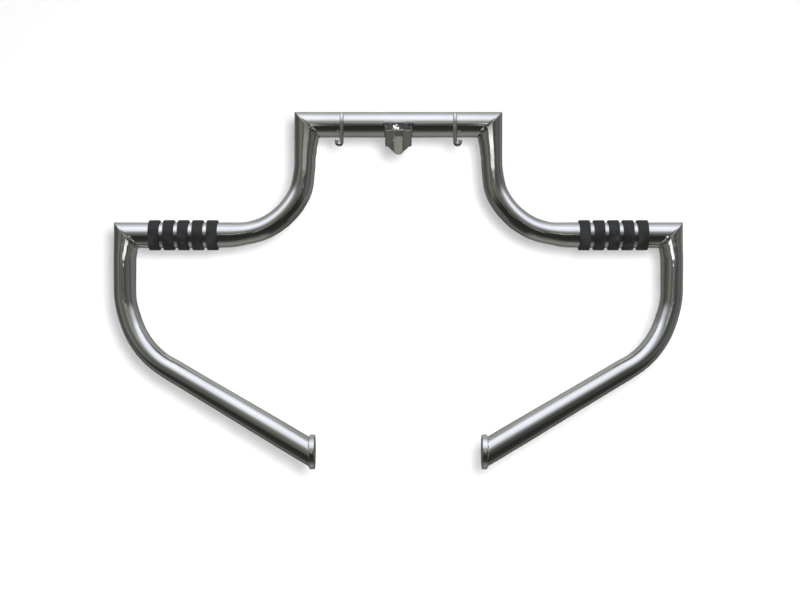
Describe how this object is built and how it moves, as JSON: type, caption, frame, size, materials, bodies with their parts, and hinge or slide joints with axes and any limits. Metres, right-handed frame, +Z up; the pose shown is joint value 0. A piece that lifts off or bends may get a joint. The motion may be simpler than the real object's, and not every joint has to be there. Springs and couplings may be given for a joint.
{
  "type": "motorcycle crash bars",
  "caption": "Welded chrome crash bars for the front of a motorcycle: mitred tubes, rubber rings on the arms, centre bracket and tapped end plates.",
  "frame": {"origin": "on the axis of the centre bracket's threaded hole, at the underside of the bracket's flange, where the bolt from the motorcycle's frame enters the nut", "axes": "+X to the rider's right along the crossbar, +Y forwards and away from the rider, +Z up along the bracket's threaded hole"},
  "size_m": [0.7078, 0.0888, 0.439],
  "materials": {
    "chrome": "mirror-bright chrome plate with faint polishing haze",
    "rubber": "matt black rubber",
    "nut_steel": "bright zinc-plated steel"
  },
  "bodies": {
    "root": {"crossbar_tube": "chrome", "left_arm_tube": "chrome", "right_arm_tube": "chrome", "left_leg_tube": "chrome", "right_leg_tube": "chrome", "left_end_plate": "chrome", "right_end_plate": "chrome", "left_end_nut": "nut_steel", "right_end_nut": "nut_steel", "bracket_flange": "chrome", "bracket_saddle": "chrome", "bracket_nut": "nut_steel", "left_hook": "chrome", "right_hook": "chrome", "left_ring_1": "rubber", "left_ring_2": "rubber", "left_ring_3": "rubber", "left_ring_4": "rubber", "left_ring_5": "rubber", "right_ring_1": "rubber", "right_ring_2": "rubber", "right_ring_3": "rubber", "right_ring_4": "rubber", "right_ring_5": "rubber"}
  },
  "joints": []
}
